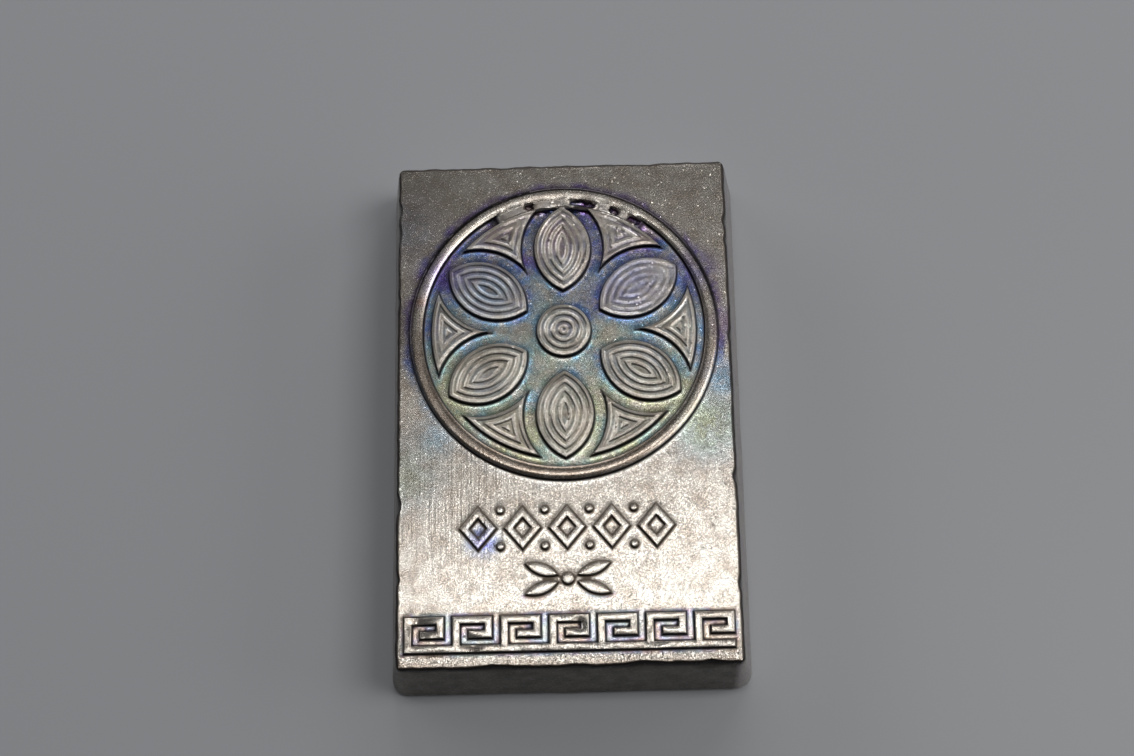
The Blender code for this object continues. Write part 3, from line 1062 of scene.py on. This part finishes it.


# %% [markdown]
# ## The relief face
# Film thickness follows the heat: it was hottest round the medallion, so the film runs from violet at the top
# of the ring through blue and teal to yellow-green at its foot, and thins out to bare metal a millimetre or
# two outside. It is strongest on the ground close to raised sides and faint on the pads, where most of it is
# rubbed off the crests. Stains of film lie over it, and patches of painted shade darken the left side. The
# valleys of the pads get painted shade, so they are darker than their crests. Corners, steep sides and the
# ring's outer side get near-black painted shade, brown round the upper two rows, and the face's rounded edge
# a dark painted-shade line.

# %% Places and colours on the relief face
# The near-black and brown colours are painted shade, and they also darken gas pits.
DARK_OXIDE_AND_SHADE = (0.02, 0.017, 0.02, 1)
# painted shade: the colour of the dark line along the face's rounded edge
EDGE_SHADE = (0.03, 0.025, 0.024, 1)
BROWN_OXIDE_AND_SHADE = (0.125, 0.097, 0.074, 1)
LOWER_EDGE_TONE = (0.42, 0.30, 0.22, 1)
MOTTLE_TINT = (0.6, 0.52, 0.46, 1)
SPECKLE_TINT = (0.5, 0.46, 0.43, 1)
RING_FOOT_TINT = (0.55, 0.46, 0.40, 1)
PAINTED_SHADE_TINT = (0.4, 0.39, 0.4, 1)
VALLEY_SHADE_TINT = (0.42, 0.38, 0.36, 1)
KEY_GROUND_TOP = -26.0
STREAKED_CENTRE, STREAKED_SIZE = (-13.0, -14.0), 17.0
STAINS = (
    # centre, size, thickness, cover
    ((-18.2, -4.5), 4.5, 0.66, 0.6),
    ((19.5, -3.0), 8.0, 0.86, 0.8),
    ((21.8, 3.5), 4.5, 0.64, 0.85),
    ((22.9, 11.5), 4.5, 0.37, 0.55),
    ((-11.6, -19.0), 3.6, 0.44, 1.0),
    ((-22.5, -9.5), 8.0, 0.82, 0.4),
    ((9.5, 18.0), 8.5, 0.48, 0.7),
    ((-11.0, 17.5), 9.0, 0.60, 0.65),
    ((-17.0, 19.5), 6.0, 0.42, 1.0),
    ((18.5, 19.5), 5.5, 0.44, 0.9),
    ((-22.8, 27.0), 8.0, 0.60, 0.25),
    ((-20.2, 15.7), 1.6, 0.22, 0.9),
)
# painted shade on the left side of the face: centre, size, amount
PAINTED_SHADE_PATCHES = (((-24.0, 11.0), 11.0, 0.8), ((-24.0, -6.0), 8.0, 0.45), ((-23.0, 31.0), 14.0, 0.22))
print(f"{len(STAINS)} film stains, {len(PAINTED_SHADE_PATCHES)} soot patches")

# %% Film on the relief face
FILM_AT_TOP, FILM_AT_FOOT, FILM_ON_OPEN_GROUND = 0.42, 0.86, 0.08
HALO_AT_FOOT, HALO_AT_MIDDLE = 0.62, 0.40


def film_on_relief(place, wear_and_shade, crest):
    """The film's thickness and cover, and masks of the painted shade on the ring's outer side, its brown foot
    and the pads.
    """
    flat = vectors("MULTIPLY", vectors("SUBTRACT", place, (0, MEDALLION_Y, 0)), (1, 1, 0))
    beyond = minus(vectors("LENGTH", flat, output="Value"), RING_OUTER)
    up = parts(flat)["Y"]
    clouds = clouded(place, 0.22, 5.0)
    patchy = ramped(clouded(place, 0.6, 6.0, 0.65), 0.35, 0.6, 0.3, 1.0)
    inside = ramped(beyond, -2.2, -1.8, 1.0, 0.0)
    open_ground = ramped(wear_and_shade["Clearance"], 0.3, 1.4)

    down = ramped(up, RING_OUTER, -RING_OUTER, FILM_AT_TOP, FILM_AT_FOOT)
    inside_thickness = plus(down, ramped(clouds, 0.25, 0.75, -0.14, 0.14))
    inside_thickness = plus(inside_thickness, times(open_ground, FILM_ON_OPEN_GROUND))
    halo_thickness = ramped(up, 4.0, -12.0, HALO_AT_MIDDLE, HALO_AT_FOOT)
    thickness = blended(inside, halo_thickness, inside_thickness)

    wavy_edge = plus(beyond, ramped(clouds, 0.3, 0.7, -0.5, 0.5))
    halo = times(ramped(wavy_edge, 0.1, 1.5, 1.0, 0.0), ramped(beyond, -0.6, 0.0))
    halo_cover = times(halo, ramped(up, -19.0, -6.0, 0.1, 0.8))
    ground_cover = minus(0.95, times(open_ground, 0.4))
    raised_cover = ramped(crest, 0.2, 0.9, 0.35, 0.06)
    inside_cover = blended(wear_and_shade["Raised"], ground_cover, raised_cover)
    cover = times(blended(inside, halo_cover, inside_cover), patchy)

    rubbed = blended(wear_and_shade["Raised"], 1.0, ramped(crest, 0.3, 1.0, 1.0, 0.6))
    broken = ramped(patchy, 0.2, 0.8, 0.5, 1.0)
    for centre, size, stain_thickness, stain_cover in STAINS:
        mask = times(spot_mask(place, centre, size), broken)
        thickness = blended(mask, thickness, stain_thickness)
        cover = higher(cover, times(times(mask, stain_cover), rubbed))

    in_key = ramped(up, KEY_GROUND_TOP - MEDALLION_Y - 1.0, KEY_GROUND_TOP - MEDALLION_Y, 1.0, 0.0)
    corner = times(ramped(wear_and_shade["Clearance"], 0.2, 0.7, 0.5, 0.0), in_key)
    corner = times(times(corner, minus(1.0, wear_and_shade["Raised"])), patchy)
    thickness = blended(in_key, thickness, ramped(clouds, 0.35, 0.65, 0.16, 0.75))
    cover = higher(cover, corner)

    # painted shade: a dark band on the ring's outer side, strongest at the top
    from_crest = minus(beyond, ramped(up, -5.0, 15.0, 0.4, 0.0))
    ring_painted_shade = times(ramped(from_crest, -0.75, -0.5), ramped(beyond, 0.05, 0.35, 1.0, 0.0))
    ring_painted_shade = times(ring_painted_shade, ramped(up, -14.0, 4.0, 0.45, 1.0))
    ring_foot = times(ramped(beyond, -2.1, -1.8), ramped(beyond, -0.3, 0.0, 1.0, 0.0))
    ring_foot = times(ring_foot, ramped(up, -8.0, 8.0, 0.65, 0.0))
    return thickness, cover, ring_painted_shade, ring_foot, times(inside, wear_and_shade["Raised"])


# %% Material: relief face
def relief_face_material():
    material, shader, place, steepness = start_material("relief_face_bismuth")
    names = ("relief_depth", "ridge_crest", "edge_reach")
    depth, crest, edge = (point_values(material.node_tree, name) for name in names)
    wear_and_shade = use_group(wear_and_shade_group, {"Depth": depth, "Steepness": steepness, "Corner Reach": 0.32})
    x, y, _ = parts(place)
    thickness, cover, ring_painted_shade, ring_foot, on_pads = film_on_relief(place, wear_and_shade, crest)
    film = use_group(film_group, {"Thickness": thickness, "Cover": cover, "Metal": METAL})["Color"]

    coarse = ramped(y, -34.5, -32.0, 0.17, 0.045)
    facet_share = blended(on_pads, blended(wear_and_shade["Raised"], 1.0, 0.55), 1.5)
    facet_share = times(facet_share, ramped(x, -20.0, 5.0, 0.7, 1.0))
    grain = use_group(grain_group, {
        "Position": place,
        "Grain Size": blended(on_pads, 0.16, 0.26),
        "Frost": 0.003,
        "Facets": times(coarse, facet_share),
        "Glints": ramped(x, -20.0, 5.0, 4.0, 9.0),
        "Sparkle": 0.022,
        "Streaks": times(spot_mask(place, STREAKED_CENTRE, STREAKED_SIZE), 0.05),
        "Pits": 0.03,
    })

    colour = mixed(ramped(grain["Mottle"], 0.35, 0.7, 0.0, 0.55), film, MOTTLE_TINT, "MULTIPLY")
    speckle = times(grain["Speckle"], blended(wear_and_shade["Raised"], 0.6, 0.45))
    colour = mixed(speckle, colour, SPECKLE_TINT, "MULTIPLY")
    colour = mixed(ramped(y, -36.5, -35.0, 0.45, 0.0), colour, LOWER_EDGE_TONE)
    colour = mixed(ring_foot, colour, RING_FOOT_TINT, "MULTIPLY")
    # painted shade: patches that darken the left side of the face
    for centre, size, amount in PAINTED_SHADE_PATCHES:
        shade_patch = times(spot_mask(place, centre, size), amount)
        colour = mixed(shade_patch, colour, PAINTED_SHADE_TINT, "MULTIPLY")
    # painted shade: the pads' valleys are darkened
    valley = times(ramped(crest, 0.0, 0.9, 0.62, 0.0), on_pads)
    colour = mixed(valley, colour, VALLEY_SHADE_TINT, "MULTIPLY")

    # near-black painted shade in corners, on steep sides and on the ring's outer side, brown round the upper
    # rows; gas pits are darkened too
    dark = times(higher(wear_and_shade["Painted Shade"], ring_painted_shade), 0.95)
    dark = higher(dark, times(grain["Pit Mask"], 0.6))
    above_key = ramped(y, KEY_GROUND_TOP - 2.5, KEY_GROUND_TOP - 1.5)
    upper_rows = times(ramped(y, -13.0, -11.5, 1.0, 0.0), above_key)
    colour = mixed(dark, colour, mixed(upper_rows, DARK_OXIDE_AND_SHADE, BROWN_OXIDE_AND_SHADE))
    # painted shade: a dark line along the relief face's rounded edge
    edge_shade_line = ramped(edge, 0.3, 0.55, 0.95, 0.0)
    colour = mixed(edge_shade_line, colour, EDGE_SHADE)

    rough = ramped(grain["Speckle"], 0.0, 1.0, 0.2, 0.3)
    for mask, more in ((edge_shade_line, 0.2), (on_pads, 0.08), (wear_and_shade["Painted Shade"], 0.2)):
        rough = plus(rough, times(mask, more))
    finish_material(shader, colour, rough, grain["Height"])
    return material


# %% [markdown]
# ## Walls and pour face
# The near wall is dull and coloured dark as painted shade, and the far, right and left walls are coloured
# lighter and bluer as painted light, with a faint film. All four get painted shade just under the lip of the
# face, and carry upright drag marks from sliding out of the mould. The pour face froze in the open, so its
# crystals are millimetres wide: it uses the grain group twice, once for the crystals and once for the skin on
# them.

# %% Material: drafted walls
# The two dark wall colours are painted shade; the tint for the far, right and left walls is painted light.
LIGHT_WALL_SHADE, DEEP_WALL_SHADE = (0.20, 0.18, 0.157, 1), (0.12, 0.108, 0.094, 1)
LIT_WALL_TINT = (0.58, 0.62, 0.70, 1)
WALL_MASK_NEAR, WALL_MASK_FAR = 1.8, 3.0
LIP_FULL, LIP_FADE = 0.5, 1.3
DRAG_STRETCH, DRAG_HEIGHT = (2.2, 2.2, 0.25), 0.03


def wall_material():
    material, shader, place, _ = start_material("wall_bismuth")
    grain = use_group(grain_group, {"Position": place, "Frost": 0.015, "Sparkle": 0.004, "Pits": 0.05})
    # painted shade: the near wall, and part of the left, is coloured dark
    painted_shade = mixed(ramped(grain["Mottle"], 0.3, 0.7), LIGHT_WALL_SHADE, DEEP_WALL_SHADE)
    thickness = ramped(grain["Mottle"], 0.35, 0.75, 0.06, 0.42)
    film = use_group(film_group, {"Thickness": thickness, "Cover": 0.22, "Metal": METAL})["Color"]
    # painted light: the far, right and left walls are tinted lighter and bluer
    film = mixed(ramped(grain["Speckle"], 0.0, 1.0, 0.55, 0.85), film, LIT_WALL_TINT, "MULTIPLY")

    x, y, z = parts(place)
    # masks of the walls that get painted light rather than painted shade
    right = ramped(x, HALF_WIDTH - WALL_MASK_FAR, HALF_WIDTH - WALL_MASK_NEAR)
    far = ramped(y, HALF_LENGTH - WALL_MASK_FAR, HALF_LENGTH - WALL_MASK_NEAR)
    left = ramped(x, WALL_MASK_NEAR - HALF_WIDTH, WALL_MASK_FAR - HALF_WIDTH, 0.6, 0.0)
    off_near = ramped(y, 1.2 - HALF_LENGTH, 4.0 - HALF_LENGTH)
    lit_walls = higher(higher(right, far), times(left, off_near))
    # painted shade just under the lip of the face
    shade_under_lip = ramped(z, FACE_HEIGHT - LIP_FADE, FACE_HEIGHT - LIP_FULL, 0.0, 0.9)
    dark = higher(shade_under_lip, times(grain["Pit Mask"], 0.6))
    colour = mixed(dark, mixed(lit_walls, painted_shade, film), DARK_OXIDE_AND_SHADE)

    drag = clouded(vectors("MULTIPLY", place, DRAG_STRETCH), 1.0, 3.0)
    rough = ramped(grain["Speckle"], 0.0, 1.0, 0.3, 0.44)
    finish_material(shader, colour, rough, plus(grain["Height"], times(drag, DRAG_HEIGHT)))
    return material


# %% Material: pour face
CRYSTALS = {"Grain Size": 3.2, "Frost": 0.3, "Facets": 0.25, "Glints": 1.0}


def pour_face_material():
    material, shader, place, _ = start_material("pour_face_bismuth")
    crystals = use_group(grain_group, {"Position": place, **CRYSTALS})
    grain = use_group(grain_group, {"Position": place, "Sparkle": 0.01, "Pits": 0.08})
    thickness = ramped(clouded(place, 0.07, 4.0), 0.3, 0.7, 0.08, 0.5)
    cover = ramped(crystals["Speckle"], 0.0, 1.0, 0.08, 0.35)
    film = use_group(film_group, {"Thickness": thickness, "Cover": cover, "Metal": METAL})["Color"]
    colour = mixed(times(grain["Pit Mask"], 0.5), film, DARK_OXIDE_AND_SHADE)
    rough = ramped(grain["Speckle"], 0.0, 1.0, 0.26, 0.4)
    finish_material(shader, colour, rough, plus(crystals["Height"], grain["Height"]))
    return material


for make in (relief_face_material, wall_material, pour_face_material):
    casting.data.materials.append(make())
print("materials:", [slot.name for slot in casting.data.materials])

# %% [markdown]
# ## Floor, lights and camera
# The floor is plain and pale. One long narrow panel hangs high up and a little beyond the bar. Its reflection
# falls on the near half, which makes the lower rows blaze while the medallion stays dark enough to show its
# colours. Four wider, dimmer panels stand to the right, beyond, low at the right and behind at the left. They
# pick out the ridges and the walls, and the surroundings are a plain grey.

# %% Floor
FLOOR_SIZE = 12.0
FLOOR_COLOUR, FLOOR_ROUGHNESS = (0.38, 0.39, 0.41, 1), 0.45


def make_floor():
    bpy.ops.mesh.primitive_plane_add(size=FLOOR_SIZE, location=(0, 0, 0))
    floor = bpy.context.object
    floor.name = "floor"
    material = bpy.data.materials.new("pale_floor")
    material.use_nodes = True
    shader = material.node_tree.nodes["Principled BSDF"]
    shader.inputs["Base Color"].default_value = FLOOR_COLOUR
    shader.inputs["Roughness"].default_value = FLOOR_ROUGHNESS
    floor.data.materials.append(material)
    return floor


make_floor()

# %% Lights
ROOM_COLOUR, ROOM_STRENGTH = (0.93, 0.96, 1.0, 1), 0.065
LIGHTS = {
    # place, size, turn about its own axis, watts, colour
    "overhead_panel": ((-0.01, 0.177, 1.165), (0.37, 0.07), math.radians(13), 0.91, (1.0, 1.0, 1.0)),
    "right_panel": ((0.6, 0.0, 1.1), (0.5, 0.5), 0.0, 3.8, (1.0, 0.99, 0.97)),
    "far_panel": ((0.2, 1.1, 0.55), (1.0, 0.4), 0.0, 4.6, (1.0, 1.0, 1.0)),
    "low_panel": ((1.0, 0.15, 0.4), (0.9, 0.4), 0.0, 2.4, (1.0, 0.99, 0.97)),
    "back_panel": ((-0.9, 0.75, 0.5), (0.9, 0.4), 0.0, 3.0, (1.0, 1.0, 1.0)),
}


def make_lights():
    for name, (place, size, turn, power, colour) in LIGHTS.items():
        light = bpy.data.lights.new(name, "AREA")
        light.shape = "RECTANGLE"
        light.size, light.size_y = size
        light.energy = power
        light.color = colour
        lamp = bpy.data.objects.new(name, light)
        towards_bar = Vector(place).to_track_quat("Z", "Y")
        turned = towards_bar @ Matrix.Rotation(turn, 3, "Z").to_quaternion()
        lamp.matrix_world = Matrix.LocRotScale(Vector(place), turned, None)
        bpy.context.scene.collection.objects.link(lamp)


def make_world():
    world = bpy.data.worlds.new("plain grey room")
    world.use_nodes = True
    background = world.node_tree.nodes["Background"]
    background.inputs["Color"].default_value = ROOM_COLOUR
    background.inputs["Strength"].default_value = ROOM_STRENGTH
    bpy.context.scene.world = world


make_lights()
make_world()
bpy.context.scene.view_settings.view_transform = "Standard"

# %% Camera
IMAGE_WIDTH = 1134
FOCAL_PIXELS = 2021.5
SENSOR = 36.0
CLIP_START = 0.01
CAMERA_ELEVATION = math.radians(72.249)
CAMERA_YAW = math.radians(3.944)
CAMERA_ROLL = math.radians(-5.193)
CAMERA_DISTANCE = 0.28277
CAMERA_AIM = Vector((0.335, 4.122, FACE_HEIGHT)) * MM


def make_camera():
    back = Vector((
        math.sin(CAMERA_YAW) * math.cos(CAMERA_ELEVATION),
        -math.cos(CAMERA_YAW) * math.cos(CAMERA_ELEVATION),
        math.sin(CAMERA_ELEVATION),
    ))
    right = (-back).cross(Vector((0, 0, 1))).normalized()
    up = right.cross(-back)
    roll = Matrix.Rotation(CAMERA_ROLL, 3, back)
    right, up = roll @ right, roll @ up
    data = bpy.data.cameras.new("camera")
    data.sensor_width = SENSOR
    data.lens = FOCAL_PIXELS * SENSOR / IMAGE_WIDTH
    data.clip_start = CLIP_START
    camera = bpy.data.objects.new("camera", data)
    turned = Matrix((right, up, back)).transposed().to_4x4()
    camera.matrix_world = Matrix.Translation(CAMERA_AIM + back * CAMERA_DISTANCE) @ turned
    bpy.context.scene.collection.objects.link(camera)
    bpy.context.scene.camera = camera


make_camera()
